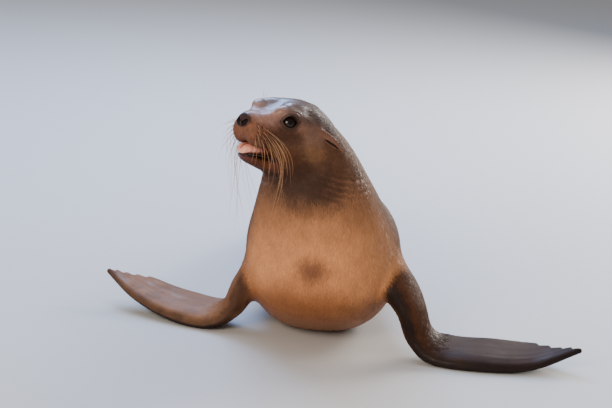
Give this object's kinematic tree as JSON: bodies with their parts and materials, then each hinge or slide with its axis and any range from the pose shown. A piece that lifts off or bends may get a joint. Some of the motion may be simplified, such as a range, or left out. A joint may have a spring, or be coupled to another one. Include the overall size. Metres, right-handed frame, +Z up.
{
  "type": "sea lion",
  "caption": "California sea lion cow resting on its belly with the chest raised, the fore flippers spread to the sides, the head turned and the mouth a little open.",
  "frame": {"origin": "on the floor, on the flat under the belly", "axes": "+Z up, +Y along the trunk towards the tail, +X the animal's left"},
  "size_m": [1.0499, 1.2645, 0.5529],
  "materials": {
    "coat": "short wet fur lying flat, dark brown above and tawny on the chest",
    "flipper_skin": "bare dark skin with a wet sheen",
    "nose_pad": "moist bare skin",
    "tongue": "moist",
    "eyes": "clear wet gloss over dark brown",
    "claws": "smooth horn"
  },
  "bodies": {
    "root": {"head": "coat", "lower_jaw": "coat", "nose": "nose_pad", "tongue": "tongue", "eye_left": "eyes", "eye_right": "eyes", "ear_left": "coat", "ear_right": "coat", "neck": "coat", "chest": "coat", "belly": "coat", "hindquarters": "coat", "tail": "coat", "forearm_left": "coat", "forearm_right": "coat", "fore_flipper_left": "flipper_skin", "fore_flipper_right": "flipper_skin", "ankle_left": "coat", "ankle_right": "coat", "hind_flipper_left": "flipper_skin", "hind_flipper_right": "flipper_skin", "claw_left_2": "claws", "claw_left_3": "claws", "claw_left_4": "claws", "claw_right_2": "claws", "claw_right_3": "claws", "claw_right_4": "claws"}
  },
  "joints": []
}
